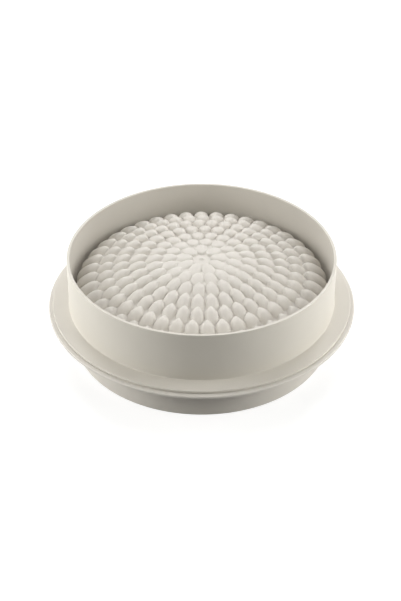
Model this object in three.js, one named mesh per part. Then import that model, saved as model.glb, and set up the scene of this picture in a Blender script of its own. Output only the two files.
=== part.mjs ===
// Petal-dome cake mould with its support ring, standing on its mouth.
// +Z is up, the origin is the middle of the mouth, and lengths are in millimetres.
import * as THREE from "three";

// Mould body: a drafted round wall closed by a low elliptic dome
const cakeDiameter = 180;
const siliconeWall = 3;
const wallHeight = 41;
const wallDraft = THREE.MathUtils.degToRad(2.5);
const domeRise = 25;
const mouthRound = 0.6;

// Flange of the mould, part of the way up the wall
const flangeTop = 30.6;
const flangeThickness = 2.2;
const flangeReach = 18.4;
const flangeRound = 1.05;
const flangeFillet = 1.2;
const undersideFillet = 2.5;

// Petals: rows round the apex, tips inwards, each row lapping the feet of the row inside it
const petalsPerRow = [9, 16, 23, 30, 37, 41, 43];
const rowTurns = [10, 15, 0.5, 2.8, 4.3, 1.1, 6.5].map(THREE.MathUtils.degToRad);
const firstTip = 4.2;
const grooveDepth = 4.7;
const fullDepthAt = 28;
const runOut = 4;
const nubRadius = 1.6;
const dishRadius = 6;
const dishEdge = 1.5;

// One petal: lengths in row pitches from its tip, width in petal spacings, heights in groove depths
const petalLength = 1.38;
const lastPetalLength = 1.93;
const widestAt = 0.67;
const crownAt = 0.42;
const petalWidth = 1.06;
const tipHeight = 0.64;
const footDrop = 0.95;
const grooveFloor = 0.2;
const apexDepth = 0.55;

// Powers that shape a petal: its nose and foot seen from above, its side and its fall to the foot
const noseCurve = 0.64;
const footCurve = 0.6;
const sideCurve = 0.5;
const fallCurve = 1.45;

// Support ring: a plain collar that stands on the flange and clears the dome
const seatGap = 0.3;
const ringClearance = 1.8;
const ringWall = 2;
const ringDraft = THREE.MathUtils.degToRad(0.5);
const apexClearance = 3.7;
const ringFlangeThickness = 2;
const ringFlangeReach = 11.6;
const ringFillet = 0.7;
const ringRound = 0.5;

// Fineness of the round surfaces
const roundSegments = 56;
const roundSteps = 2;
const outerSteps = [0.06, 0.35, 0.7, 0.97];
const outerPetalSides = 4;
const innerSteps = [0.1, 0.6];
const innerPetalSides = 4;

const fullTurn = 2 * Math.PI;
const mouthRadius = cakeDiameter / 2 + siliconeWall;
const wallRadius = (z) => mouthRadius - z * Math.tan(wallDraft);
const domeRadius = wallRadius(wallHeight);
const rowCount = petalsPerRow.length;

// Meridian of the dome from apex to wall, set in from the outside by a depth
const meridianAt = (depth) => new THREE.EllipseCurve(
  0, wallHeight, domeRadius - depth, domeRise - depth, Math.PI / 2, 0, true);

// Places are distances from the apex along the outer meridian, which the rows share evenly
const outerMeridian = meridianAt(0);
const domeLength = outerMeridian.getLength();
const rowPitch = (domeLength - firstTip) / (rowCount - 1 + lastPetalLength);
const placeInRow = (row, along) => firstTip + (row + along) * rowPitch;
const radiusAt = (place) => outerMeridian.getPointAt(place / domeLength).x;

// Height of one row of petals over its grooves: 0 in a groove, 1 on a crown
function rowHeight(row, place, turn) {
  const last = row === rowCount - 1;
  const along = (place - firstTip) / rowPitch - row;
  const fromWidest = (along - widestAt) / (along < widestAt ? widestAt : petalLength - widestAt);
  const taper = last ? Math.min(fromWidest, 0) : fromWidest;
  if (Math.abs(taper) >= 1) {
    return 0;
  }
  const petals = ((turn - rowTurns[row]) * petalsPerRow[row]) / fullTurn;
  const widening = radiusAt(place) / radiusAt(placeInRow(row, widestAt));
  const across = 2 * Math.abs(petals - Math.round(petals)) * widening;
  const halfWidth = petalWidth * (1 - taper ** 2) ** (taper < 0 ? noseCurve : footCurve);
  const rise = Math.max(0, 1 - along / crownAt);
  const fall = last ? 0 : Math.max(0, (along - crownAt) / (petalLength - crownAt));
  const crown = tipHeight + (1 - tipHeight) * Math.sqrt(1 - rise ** 2) - footDrop * fall ** fallCurve;
  return crown * Math.max(0, 1 - (across / halfWidth) ** 2) ** sideCurve;
}

// Height of the petalled skin, with a nub in a dish at the apex
function petalHeight(place, turn) {
  const rows = petalsPerRow.map((_, row) => rowHeight(row, place, turn));
  const outOfDish = THREE.MathUtils.smoothstep(place, dishRadius - dishEdge, dishRadius);
  const nub = Math.sqrt(Math.max(0, 1 - (place / nubRadius) ** 2));
  return Math.max(Math.max(grooveFloor, ...rows) * outOfDish, nub);
}

// Depth of the petalled skin below the crowns: shallower at the apex, running out into the wall
function petalSink(place, turn) {
  const depth = grooveDepth * THREE.MathUtils.clamp(place / fullDepthAt, apexDepth, 1);
  const inRelief = 1 - THREE.MathUtils.smoothstep(place, domeLength - runOut, domeLength);
  return depth * inRelief * (1 - petalHeight(place, turn));
}

// Loop of points about the Z axis, evenly turned, with a profile point for each turn
function loopAround(count, firstTurn, profileAt) {
  const points = [];
  for (let i = 0; i < count; i += 1) {
    const turn = firstTurn + (fullTurn * i) / count;
    const { x, y } = profileAt(turn);
    points.push(new THREE.Vector3(x * Math.cos(turn), x * Math.sin(turn), y));
  }
  return { points, firstTurn };
}

// Loops of the petalled dome from apex to wall, with a number of points to each petal,
// and with half as many at the wall, where the relief has run out
function domeLoops(depth, steps, petalSides) {
  const meridian = meridianAt(depth);
  const loopAt = (place, row, sides = petalSides) => {
    const share = place / domeLength;
    const inward = meridian.getTangentAt(share).rotateAround(new THREE.Vector2(), -Math.PI / 2);
    return loopAround(petalsPerRow[row] * sides, rowTurns[row], (turn) => (
      meridian.getPointAt(share).addScaledVector(inward, petalSink(place, turn))));
  };
  const lastRow = rowCount - 1;
  return [
    loopAround(1, 0, () => meridian.getPointAt(0)),
    loopAt(nubRadius / 2, 0),
    loopAt(nubRadius, 0),
    ...petalsPerRow.flatMap((_, row) => steps.map((step) => loopAt(placeInRow(row, step), row))),
    loopAt(domeLength - runOut, lastRow),
    loopAt(domeLength, lastRow, petalSides / 2),
  ];
}

// Profile through corners given as x, y and the distance over which the corner is rounded
function roundedProfile(corners) {
  const path = new THREE.Path();
  corners.forEach(([x, y, round], i) => {
    const corner = new THREE.Vector2(x, y);
    if (i === 0) {
      path.moveTo(x, y);
    } else if (!round) {
      path.lineTo(x, y);
    } else {
      const before = new THREE.Vector2(...corners[i - 1]).sub(corner).setLength(round).add(corner);
      const after = new THREE.Vector2(...corners[i + 1]).sub(corner).setLength(round).add(corner);
      path.lineTo(before.x, before.y);
      path.quadraticCurveTo(x, y, after.x, after.y);
    }
  });
  return path.getPoints(roundSteps);
}

// Closed skin lofted through loops that run from one pole, down the outside and up the inside
function loft(loops) {
  const points = loops.flatMap((loop) => loop.points);
  const faces = [];
  let start = 0;
  for (let i = 0; i + 1 < loops.length; i += 1) {
    const upperCount = loops[i].points.length;
    const lowerCount = loops[i + 1].points.length;
    const lowerStart = start + upperCount;
    const turnBetween = loops[i].firstTurn - loops[i + 1].firstTurn;
    const shift = Math.round((turnBetween / fullTurn) * lowerCount) + lowerCount;
    const upper = (k) => lowerStart - upperCount + (k % upperCount);
    const lower = (k) => lowerStart + ((k + shift) % lowerCount);
    const upperLast = upperCount > 1 ? upperCount : 0;
    const lowerLast = lowerCount > 1 ? lowerCount : 0;
    let a = 0;
    let b = 0;
    while (a < upperLast || b < lowerLast) {
      const acrossUpper = points[upper(a + 1)].distanceTo(points[lower(b)]);
      const acrossLower = points[upper(a)].distanceTo(points[lower(b + 1)]);
      if (b === lowerLast || (a < upperLast && acrossUpper < acrossLower)) {
        faces.push(upper(a), lower(b), upper(a + 1));
        a += 1;
      } else {
        faces.push(upper(a), lower(b), lower(b + 1));
        b += 1;
      }
    }
    start = lowerStart;
  }
  const geometry = new THREE.BufferGeometry().setFromPoints(points);
  geometry.setIndex(faces);
  return geometry;
}

// Silicone mould: dome, wall, flange and mouth as one moulding of even wall
function petalMould() {
  const flangeBottom = flangeTop - flangeThickness;
  const flangeRadius = wallRadius(flangeTop) + flangeReach;
  // The first and last corner are the edges of the dome, whose loops are made with its petals
  const sides = roundedProfile([
    [domeRadius, wallHeight],
    [wallRadius(flangeTop), flangeTop, flangeFillet],
    [flangeRadius, flangeTop, flangeRound],
    [flangeRadius, flangeBottom, flangeRound],
    [wallRadius(flangeBottom), flangeBottom, undersideFillet],
    [mouthRadius, 0, mouthRound],
    [mouthRadius - siliconeWall, 0, mouthRound],
    [domeRadius - siliconeWall, wallHeight],
  ]);
  const sideLoops = sides.slice(1, -1).map((point) => loopAround(roundSegments, 0, () => point));
  const outside = domeLoops(0, outerSteps, outerPetalSides);
  const inside = domeLoops(siliconeWall, innerSteps, innerPetalSides).reverse();
  const geometry = loft([...outside, ...sideLoops, ...inside]);
  const material = new THREE.MeshStandardMaterial({ color: 0xb9b0a4, roughness: 0.62, metalness: 0 });
  const mesh = new THREE.Mesh(geometry, material);
  mesh.name = "petal_mould";
  return mesh;
}

// Support ring: collar with a foot rim on top and an outward flange below, lifted off along +Z
function supportRing() {
  const bottom = flangeTop + seatGap;
  const top = wallHeight + domeRise + apexClearance;
  const flangeLevel = bottom + ringFlangeThickness;
  const bore = wallRadius(flangeTop) + ringClearance;
  const boreAt = (z) => bore - (z - bottom) * Math.tan(ringDraft);
  const flangeRadius = bore + ringWall + ringFlangeReach;
  const middle = (bottom + top) / 2;
  const section = roundedProfile([
    [boreAt(middle), middle],
    [boreAt(bottom), bottom, ringRound],
    [flangeRadius, bottom, ringRound],
    [flangeRadius, flangeLevel, ringRound],
    [boreAt(flangeLevel) + ringWall, flangeLevel, ringFillet],
    [boreAt(top) + ringWall, top, ringRound],
    [boreAt(top), top, ringRound],
    [boreAt(middle), middle],
  ]);
  const geometry = new THREE.LatheGeometry(section, roundSegments).rotateX(Math.PI / 2);
  const material = new THREE.MeshStandardMaterial({ color: 0xb4aca1, roughness: 0.5, metalness: 0 });
  const mesh = new THREE.Mesh(geometry, material);
  mesh.name = "support_ring";
  return mesh;
}

const cakeMould = new THREE.Group();
cakeMould.add(petalMould(), supportRing());

export default cakeMould;
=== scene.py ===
"""Looks of the petal-dome cake mould and its support ring, in metres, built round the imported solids."""
import math

import bpy
import numpy as np
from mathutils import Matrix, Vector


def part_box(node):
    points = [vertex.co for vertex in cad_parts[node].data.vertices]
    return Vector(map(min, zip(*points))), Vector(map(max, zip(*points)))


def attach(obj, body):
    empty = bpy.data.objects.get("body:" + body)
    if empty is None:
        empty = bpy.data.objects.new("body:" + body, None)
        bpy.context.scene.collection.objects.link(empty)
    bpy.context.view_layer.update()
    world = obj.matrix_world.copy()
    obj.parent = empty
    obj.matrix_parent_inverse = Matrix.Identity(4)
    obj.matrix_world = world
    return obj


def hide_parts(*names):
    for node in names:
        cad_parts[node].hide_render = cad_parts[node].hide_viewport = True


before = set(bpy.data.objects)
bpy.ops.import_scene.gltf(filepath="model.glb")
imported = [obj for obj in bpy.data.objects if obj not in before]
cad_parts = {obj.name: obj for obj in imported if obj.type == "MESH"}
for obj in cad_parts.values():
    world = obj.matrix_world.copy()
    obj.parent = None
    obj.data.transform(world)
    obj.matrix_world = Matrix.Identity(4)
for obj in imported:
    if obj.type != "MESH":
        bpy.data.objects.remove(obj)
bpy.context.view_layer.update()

MM = 0.001
FULL_TURN = 2 * math.pi

# Mould body: drafted wall and flange, as the solids have them
CAKE_DIAMETER = 180 * MM
SILICONE_WALL = 3 * MM
WALL_HEIGHT = 41 * MM
WALL_DRAFT = math.radians(2.5)
MOUTH_ROUND = 0.6 * MM
FLANGE_TOP = 30.6 * MM
FLANGE_THICKNESS = 2.2 * MM
FLANGE_ROUND = 1.05 * MM
FLANGE_FILLET = 1.2 * MM
UNDERSIDE_FILLET = 2.5 * MM

# Dome: a superellipse, plumper at the shoulder than the solid's ellipse, and set in from the wall
DOME_POWER = 2.12
DOME_INSET = 0.5 * MM

# Petals in rows round the apex, tips inwards, placed by their distance along the dome from the apex
PETALS_PER_ROW = (9, 16, 23, 30, 37, 41, 43)
ROW_TURNS = tuple(math.radians(turn) for turn in (10, 15, 0.5, 2.8, 4.3, 1.1, 6.5))
ROW_TIPS = tuple(tip * MM for tip in (6.4, 17.6, 27.8, 39.3, 51.6, 63.5, 75.5))

# Grooves between the petals: a share of the depth near the apex, running out on the wall behind the ring
GROOVE_DEPTH = 5.4 * MM
FULL_DEPTH_AT = 46 * MM
APEX_DEPTH = 0.46
RUN_OUT = 6 * MM

# Apex: a nub on a low mound, with heights in groove depths
NUB_RADIUS = 2.6 * MM
NUB_HEIGHT = 0.45
MOUND_HEIGHT = 0.3

# One petal: lengths in row pitches from its tip, width in petal spacings, heights in groove depths
PETAL_LENGTH = 1.38
WIDEST_AT = 0.67
CROWN_AT = 0.42
PETAL_WIDTH = 1.0
TIP_HEIGHT = 0.64
FOOT_DROP = 0.95
GROOVE_FLOOR = 0.2
BLEND = 0.05

# Powers that shape a petal: its nose and foot seen from above, its side and its fall to the foot,
# with the nose getting more pointed from the first row to the last
FIRST_NOSE_CURVE = 0.5
LAST_NOSE_CURVE = 0.7
FOOT_CURVE = 0.6
SIDE_CURVE = 0.42
FALL_CURVE = 1.45

# Support ring
RING_WALL = 2 * MM
RING_DRAFT = math.radians(0.5)
RING_CLEARANCE = 1.8 * MM
RING_FLANGE_THICKNESS = 2 * MM
RING_FILLET = 0.7 * MM
RING_ROUND = 0.5 * MM
SEAT_LINE = 0.2 * MM

# Surface of both materials: scale of the colour clouds, spread of the roughness, grain and gloss
CLOUD_SCALE = 28
CLOUD_DETAIL = 4
ROUGHNESS_SPREAD = 0.06
GRAIN_HEIGHT = 0.1 * MM
GRAIN_DETAIL = 3
GLOSS = 0.35

# Floor: its grey under the lamps, and the share of white that it shows by itself near the object,
# which rises to the whole further off
FLOOR_SIZE = 6
FLOOR_DROP = 0.1 * MM
FLOOR_SHADE = 0.42
FLOOR_ROUGHNESS = 0.9
FLOOR_GLOW = 0.72
GLOW_RISES_FROM = 0.3
GLOW_WHOLE_AT = 0.8

# Lamps: their colours, and the height of the point on the axis that they face
NEUTRAL = (1, 1, 1)
WARM = (1, 0.99, 0.93)
LAMPS_FACE = 50 * MM

# Camera: image height and focal length in pixels, sensor in millimetres, tilt down from level, and place
IMAGE_HEIGHT = 601
FOCAL_PIXELS = 1265
SENSOR_WIDTH = 36
CAMERA_TILT = math.radians(36.27)
CAMERA_PLACE = (-0.0008, -0.7398, 0.5710)

# Fineness of the meshes
MERIDIAN_POINTS = 4000
DOME_COLUMNS = 1032
COLUMNS = 344
DOME_STEP = 0.5 * MM
INNER_STEP = 1 * MM
ROUND_STEPS = 6
LEAST_SHARE = 1e-6

MOUTH_RADIUS = CAKE_DIAMETER / 2 + SILICONE_WALL
ROW_COUNT = len(PETALS_PER_ROW)
FLANGE_RADIUS, _, DOME_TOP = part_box("petal_mould")[1]
RING_FLANGE_RADIUS, _, RING_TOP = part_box("support_ring")[1]
DOME_RISE = DOME_TOP - WALL_HEIGHT


def wall_radius(z):
    """Outer radius of the mould's drafted wall at a height."""
    return MOUTH_RADIUS - z * math.tan(WALL_DRAFT)


DOME_RADIUS = wall_radius(WALL_HEIGHT) - DOME_INSET
RELIEF_END = WALL_HEIGHT - RUN_OUT


def smooth_step(share):
    """Eased way from 0 to 1."""
    share = np.clip(share, 0, 1)
    return share * share * (3 - 2 * share)


def smooth_max(a, b):
    """Larger of two heights, with a rounded step between them."""
    near = np.clip(1 - np.abs(a - b) / BLEND, 0, 1)
    return np.maximum(a, b) + BLEND / 4 * near ** 2


def meridian(depth):
    """Radii, levels and lengths of the meridian at a depth, from the apex to the end of the grooves."""
    angle = np.linspace(0, math.pi / 2, MERIDIAN_POINTS)
    radius = (DOME_RADIUS - depth) * np.sin(angle) ** (2 / DOME_POWER)
    level = WALL_HEIGHT + (DOME_RISE - depth) * np.cos(angle) ** (2 / DOME_POWER)
    radius = np.append(radius, wall_radius(RELIEF_END) - depth)
    level = np.append(level, RELIEF_END)
    steps = np.hypot(np.diff(radius), np.diff(level))
    return radius, level, np.concatenate([[0], np.cumsum(steps)])


DOME_LENGTH, SKIN_LENGTH = meridian(0)[2][-2:]


def row_height(row, place, radius, turn):
    """Height of one row of petals over its grooves, 0 in a groove and 1 on a crown."""
    last = row == ROW_COUNT - 1
    pitch = ROW_TIPS[row] - ROW_TIPS[row - 1] if last else ROW_TIPS[row + 1] - ROW_TIPS[row]
    along = (place - ROW_TIPS[row]) / pitch

    # Distance from the middle of the nearest petal, in half spacings
    petals = (turn - ROW_TURNS[row]) * PETALS_PER_ROW[row] / FULL_TURN
    widest = np.interp(ROW_TIPS[row] + WIDEST_AT * pitch, place[:, 0], radius[:, 0])
    across = 2 * np.abs(petals - np.round(petals)) * radius / widest

    # Way along the petal: up to its crown, down to its foot, and from its widest place to either end
    rise = np.clip(1 - along / CROWN_AT, 0, 1)
    fall = np.clip((along - CROWN_AT) / (PETAL_LENGTH - CROWN_AT), 0, 1)
    from_widest = along - WIDEST_AT
    taper = from_widest / np.where(from_widest < 0, WIDEST_AT, PETAL_LENGTH - WIDEST_AT)
    if last:
        fall = np.zeros_like(fall)
        taper = np.minimum(taper, 0)

    # Height of the crown and half the petal's width there, which stays above 0 to be divided by
    crown = TIP_HEIGHT + (1 - TIP_HEIGHT) * np.sqrt(1 - rise ** 2) - FOOT_DROP * fall ** FALL_CURVE
    nose_curve = FIRST_NOSE_CURVE + (LAST_NOSE_CURVE - FIRST_NOSE_CURVE) * row / (ROW_COUNT - 1)
    end_curve = np.where(taper < 0, nose_curve, FOOT_CURVE)
    half_width = PETAL_WIDTH * np.clip(1 - taper ** 2, LEAST_SHARE, 1) ** end_curve
    side = np.clip(1 - (across / half_width) ** 2, 0, 1) ** SIDE_CURVE
    return np.where(np.abs(taper) < 1, crown * side, 0.0)


def petal_height(place, radius, turn):
    """Height of the petalled skin over the grooves, with the mound and nub at the apex."""
    mound = MOUND_HEIGHT * smooth_step(1 - place / ROW_TIPS[0])
    nub = NUB_HEIGHT * smooth_step(1 - place / NUB_RADIUS)
    height = GROOVE_FLOOR + mound + nub
    for row in range(ROW_COUNT):
        height = smooth_max(height, row_height(row, place, radius, turn))
    return height


def dome_rows(depth, step, columns):
    """Rows of points of the petalled dome from apex to wall, set in from the outside by a depth."""
    radius, level, length = meridian(depth)
    share = np.linspace(0, 1, round(SKIN_LENGTH / step))[1:-1]
    along = share * length[-1]
    radius = np.interp(along, length, radius)
    level = np.interp(along, length, level)
    outwards = np.gradient(radius, along)[:, None]
    downwards = -np.gradient(level, along)[:, None]
    radius, level, place = radius[:, None], level[:, None], share[:, None] * SKIN_LENGTH
    turn = np.arange(columns)[None, :] / columns * FULL_TURN
    height = petal_height(place, radius, turn)
    in_relief = 1 - smooth_step((place - DOME_LENGTH) / (SKIN_LENGTH - DOME_LENGTH))
    sink = GROOVE_DEPTH * np.clip(place / FULL_DEPTH_AT, APEX_DEPTH, 1) * in_relief * (1 - height)
    radius = radius - sink * downwards
    level = level - sink * outwards
    return np.stack([radius * np.cos(turn), radius * np.sin(turn), level], axis=2)


def rounded_profile(corners):
    """Points of a profile through corners (x, z, rounding)."""
    points = []
    for i, (x, z, rounding) in enumerate(corners):
        corner = np.array([x, z])
        if not rounding:
            points.append(corner)
            continue
        before = np.array(corners[i - 1][:2]) - corner
        after = np.array(corners[i + 1][:2]) - corner
        start = corner + before / np.linalg.norm(before) * rounding
        end = corner + after / np.linalg.norm(after) * rounding
        for t in np.linspace(0, 1, ROUND_STEPS + 1):
            points.append((1 - t) ** 2 * start + 2 * t * (1 - t) * corner + t * t * end)
    return np.array(points)


def turned_rows(profile):
    """Rows of points of a profile turned about Z."""
    turn = np.arange(COLUMNS) / COLUMNS * FULL_TURN
    x = profile[:, 0, None] * np.cos(turn)
    y = profile[:, 0, None] * np.sin(turn)
    z = np.broadcast_to(profile[:, 1, None], x.shape)
    return np.stack([x, y, z], axis=2)


def quads_between(rows, columns, first=0, closed=False):
    """Corner numbers of the quads between rows of points, and back to the first row if closed."""
    upper = np.arange(rows if closed else rows - 1)[:, None] * columns
    lower = (np.arange(len(upper))[:, None] + 1) % rows * columns
    here = np.arange(columns)[None, :]
    there = (here + 1) % columns
    quads = np.stack([upper + here, lower + here, lower + there, upper + there], axis=2)
    return (quads.reshape(-1, 4) + first).tolist()


def step_down(first, columns, next_first, next_columns):
    """Faces between a fine row of points and a row with a whole share of its columns."""
    share = columns // next_columns
    faces = []
    for i in range(next_columns):
        fine = [first + (i * share + k) % columns for k in range(share + 1)]
        faces.append([next_first + i, next_first + (i + 1) % next_columns, *reversed(fine)])
    return faces


def fan(pole, first, columns, flip):
    """Triangles round a pole."""
    faces = [(pole, first + i, first + (i + 1) % columns) for i in range(columns)]
    return [face[::-1] for face in faces] if flip else faces


def new_piece(name, points, faces, material, body, node):
    """Adds a smooth mesh that stands for a CAD node."""
    mesh = bpy.data.meshes.new(name)
    mesh.from_pydata(points, [], faces)
    mesh.shade_smooth()
    mesh.materials.append(material)
    piece = bpy.data.objects.new(name, mesh)
    bpy.context.scene.collection.objects.link(piece)
    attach(piece, body)
    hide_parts(node)


def mould_piece(material):
    """Silicone mould: petalled dome, wall, flange and mouth in one skin."""
    flange_bottom = FLANGE_TOP - FLANGE_THICKNESS
    sides = rounded_profile([
        (wall_radius(RELIEF_END), RELIEF_END, 0),
        (wall_radius(FLANGE_TOP), FLANGE_TOP, FLANGE_FILLET),
        (FLANGE_RADIUS, FLANGE_TOP, FLANGE_ROUND),
        (FLANGE_RADIUS, flange_bottom, FLANGE_ROUND),
        (wall_radius(flange_bottom), flange_bottom, UNDERSIDE_FILLET),
        (MOUTH_RADIUS, 0, MOUTH_ROUND),
        (MOUTH_RADIUS - SILICONE_WALL, 0, MOUTH_ROUND),
        (wall_radius(RELIEF_END) - SILICONE_WALL, RELIEF_END, 0),
    ])
    outside = dome_rows(0, DOME_STEP, DOME_COLUMNS)
    inside = dome_rows(SILICONE_WALL, INNER_STEP, COLUMNS)[::-1]
    rest = np.concatenate([turned_rows(sides), inside])
    rest_first = len(outside) * DOME_COLUMNS
    top_pole = rest_first + len(rest) * COLUMNS
    poles = [[0, 0, outside[0, :, 2].mean()], [0, 0, inside[-1, :, 2].mean()]]
    points = np.concatenate([outside.reshape(-1, 3), rest.reshape(-1, 3), poles])
    faces = fan(top_pole, 0, DOME_COLUMNS, flip=False)
    faces += quads_between(len(outside), DOME_COLUMNS)
    faces += step_down(rest_first - DOME_COLUMNS, DOME_COLUMNS, rest_first, COLUMNS)
    faces += quads_between(len(rest), COLUMNS, first=rest_first)
    faces += fan(top_pole + 1, top_pole - COLUMNS, COLUMNS, flip=True)
    new_piece("petal_mould_skin", points, faces, material, "mould", "petal_mould")


def ring_piece(material):
    """Support ring: collar with its foot rim on top and its flange below."""
    bottom = FLANGE_TOP + SEAT_LINE
    flange_level = bottom + RING_FLANGE_THICKNESS
    middle = (bottom + RING_TOP) / 2
    bore = wall_radius(FLANGE_TOP) + RING_CLEARANCE

    def bore_at(z):
        return bore - (z - bottom) * math.tan(RING_DRAFT)

    section = rounded_profile([
        (bore_at(middle), middle, 0),
        (bore_at(bottom), bottom, RING_ROUND),
        (RING_FLANGE_RADIUS, bottom, RING_ROUND),
        (RING_FLANGE_RADIUS, flange_level, RING_ROUND),
        (bore_at(flange_level) + RING_WALL, flange_level, RING_FILLET),
        (bore_at(RING_TOP) + RING_WALL, RING_TOP, RING_ROUND),
        (bore_at(RING_TOP), RING_TOP, RING_ROUND),
        (bore_at(middle), middle, 0),
    ])[:-1]
    rows = turned_rows(section)[::-1]
    points = rows.reshape(-1, 3)
    faces = quads_between(len(rows), COLUMNS, closed=True)
    new_piece("support_ring_skin", points, faces, material, "ring", "support_ring")


def soft_grey(name, low, high, roughness, grain_scale, grain):
    """Matte warm grey: cloudy colour, uneven roughness and a fine moulded grain."""
    material = bpy.data.materials.new(name)
    material.use_nodes = True
    nodes = material.node_tree.nodes
    links = material.node_tree.links
    shader = nodes["Principled BSDF"]
    shader.inputs["Specular IOR Level"].default_value = GLOSS
    place = nodes.new("ShaderNodeTexCoord")

    cloud = nodes.new("ShaderNodeTexNoise")
    cloud.inputs["Scale"].default_value = CLOUD_SCALE
    cloud.inputs["Detail"].default_value = CLOUD_DETAIL
    colours = nodes.new("ShaderNodeValToRGB")
    colours.color_ramp.elements[0].color = (*low, 1)
    colours.color_ramp.elements[1].color = (*high, 1)
    links.new(place.outputs["Object"], cloud.inputs["Vector"])
    links.new(cloud.outputs["Fac"], colours.inputs["Fac"])
    links.new(colours.outputs["Color"], shader.inputs["Base Color"])

    rough = nodes.new("ShaderNodeMapRange")
    rough.inputs["To Min"].default_value = roughness - ROUGHNESS_SPREAD
    rough.inputs["To Max"].default_value = roughness + ROUGHNESS_SPREAD
    links.new(cloud.outputs["Fac"], rough.inputs["Value"])
    links.new(rough.outputs["Result"], shader.inputs["Roughness"])

    fine = nodes.new("ShaderNodeTexNoise")
    fine.inputs["Scale"].default_value = grain_scale
    fine.inputs["Detail"].default_value = GRAIN_DETAIL
    bump = nodes.new("ShaderNodeBump")
    bump.inputs["Strength"].default_value = grain
    bump.inputs["Distance"].default_value = GRAIN_HEIGHT
    links.new(place.outputs["Object"], fine.inputs["Vector"])
    links.new(fine.outputs["Fac"], bump.inputs["Height"])
    links.new(bump.outputs["Normal"], shader.inputs["Normal"])
    return material


def seen_directly(tree):
    """Node socket that is 1 for camera, glossy and transmission rays and 0 for light that is passed on."""
    path = tree.nodes.new("ShaderNodeLightPath")
    socket = path.outputs["Is Camera Ray"]
    for ray in ("Is Glossy Ray", "Is Transmission Ray"):
        either = tree.nodes.new("ShaderNodeMath")
        either.operation = "MAXIMUM"
        tree.links.new(socket, either.inputs[0])
        tree.links.new(path.outputs[ray], either.inputs[1])
        socket = either.outputs["Value"]
    return socket


def floor_white():
    """White of the floor: grey that takes the object's shadow, with a glow that the object isn't lit by."""
    material = bpy.data.materials.new("floor_white")
    material.use_nodes = True
    tree = material.node_tree
    shader = tree.nodes["Principled BSDF"]
    shader.inputs["Base Color"].default_value = (FLOOR_SHADE, FLOOR_SHADE, FLOOR_SHADE, 1)
    shader.inputs["Roughness"].default_value = FLOOR_ROUGHNESS
    shader.inputs["Specular IOR Level"].default_value = 0
    shader.inputs["Emission Color"].default_value = (1, 1, 1, 1)

    place = tree.nodes.new("ShaderNodeTexCoord")
    distance = tree.nodes.new("ShaderNodeVectorMath")
    distance.operation = "LENGTH"
    tree.links.new(place.outputs["Object"], distance.inputs[0])
    share = tree.nodes.new("ShaderNodeMapRange")
    share.inputs["From Min"].default_value = GLOW_RISES_FROM
    share.inputs["From Max"].default_value = GLOW_WHOLE_AT
    share.inputs["To Min"].default_value = FLOOR_GLOW
    share.inputs["To Max"].default_value = 1
    tree.links.new(distance.outputs["Value"], share.inputs["Value"])

    glow = tree.nodes.new("ShaderNodeMath")
    glow.operation = "MULTIPLY"
    tree.links.new(seen_directly(tree), glow.inputs[0])
    tree.links.new(share.outputs["Result"], glow.inputs[1])
    tree.links.new(glow.outputs["Value"], shader.inputs["Emission Strength"])
    return material


def white_floor():
    """Floor that the object stands on."""
    half = FLOOR_SIZE / 2
    corners = [(-half, -half), (half, -half), (half, half), (-half, half)]
    mesh = bpy.data.meshes.new("floor")
    mesh.from_pydata([(x, y, -FLOOR_DROP) for x, y in corners], [], [(0, 1, 2, 3)])
    mesh.materials.append(floor_white())
    floor = bpy.data.objects.new("floor", mesh)
    bpy.context.scene.collection.objects.link(floor)


def white_world():
    """World that is white to look at and gives no light."""
    world = bpy.data.worlds.new("studio")
    world.use_nodes = True
    tree = world.node_tree
    backdrop = tree.nodes["Background"]
    backdrop.inputs["Color"].default_value = (1, 1, 1, 1)
    tree.links.new(seen_directly(tree), backdrop.inputs["Strength"])
    bpy.context.scene.world = world


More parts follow.
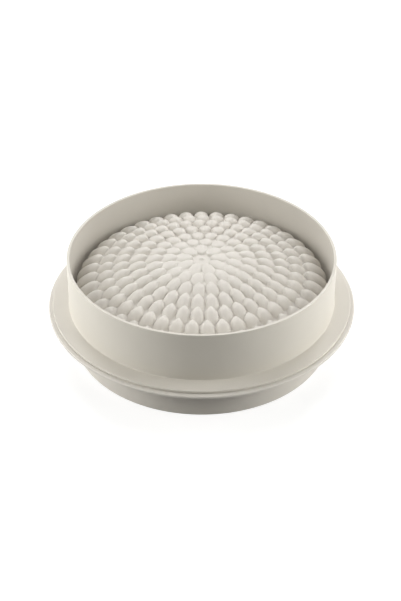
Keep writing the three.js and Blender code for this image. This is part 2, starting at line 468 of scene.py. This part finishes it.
def area_lamp(name, place, size, power, colour):
    """Soft box that faces the middle of the object."""
    data = bpy.data.lights.new(name, "AREA")
    data.shape = "RECTANGLE"
    data.size, data.size_y = size
    data.energy = power
    data.color = colour
    lamp = bpy.data.objects.new(name, data)
    bpy.context.scene.collection.objects.link(lamp)
    direction = Vector((0, 0, LAMPS_FACE)) - Vector(place)
    lamp.rotation_euler = direction.to_track_quat("-Z", "Y").to_euler()
    lamp.location = place


def studio_lamps():
    """Soft boxes in pairs at the sides, low strips for the walls, and a panel behind and a box above."""
    for name, side in (("left", -1), ("right", 1)):
        area_lamp(f"{name}_box", (side * 1.0, 0, 0.6), size=(0.4, 0.6), power=2.3, colour=NEUTRAL)
        area_lamp(f"{name}_low_box", (side * 1.0, 0, 0.35), size=(0.4, 0.3), power=2.6, colour=NEUTRAL)
        area_lamp(f"{name}_strip", (side * 0.9, 0, 0.045), size=(0.5, 0.08), power=3.4, colour=WARM)
        area_lamp(f"{name}_front_box", (side * 0.45, -0.45, 0.5), size=(0.25, 0.25), power=1.25, colour=WARM)
        area_lamp(f"{name}_back_box", (side * 0.5, 0.8, 0.9), size=(0.4, 0.4), power=5.0, colour=NEUTRAL)
    area_lamp("back_panel", (0, 1.2, 0.8), size=(1.6, 0.8), power=2.0, colour=NEUTRAL)
    area_lamp("top_box", (0, 0, 0.4), size=(0.2, 0.2), power=0.28, colour=NEUTRAL)


def photo_camera():
    """Camera at the photograph's viewing angle."""
    data = bpy.data.cameras.new("camera")
    data.sensor_width = SENSOR_WIDTH
    data.lens = SENSOR_WIDTH * FOCAL_PIXELS / IMAGE_HEIGHT
    camera = bpy.data.objects.new("camera", data)
    bpy.context.scene.collection.objects.link(camera)
    camera.location = CAMERA_PLACE
    camera.rotation_euler = (math.pi / 2 - CAMERA_TILT, 0, 0)
    bpy.context.scene.camera = camera


silicone = soft_grey("silicone", low=(0.60, 0.57, 0.525), high=(0.68, 0.65, 0.605),
                     roughness=0.62, grain_scale=2600, grain=0.25)
plastic = soft_grey("ring_plastic", low=(0.60, 0.57, 0.515), high=(0.66, 0.63, 0.575),
                    roughness=0.5, grain_scale=1800, grain=0.12)
mould_piece(silicone)
ring_piece(plastic)
white_floor()
white_world()
studio_lamps()
photo_camera()
bpy.context.scene.view_settings.view_transform = "Standard"
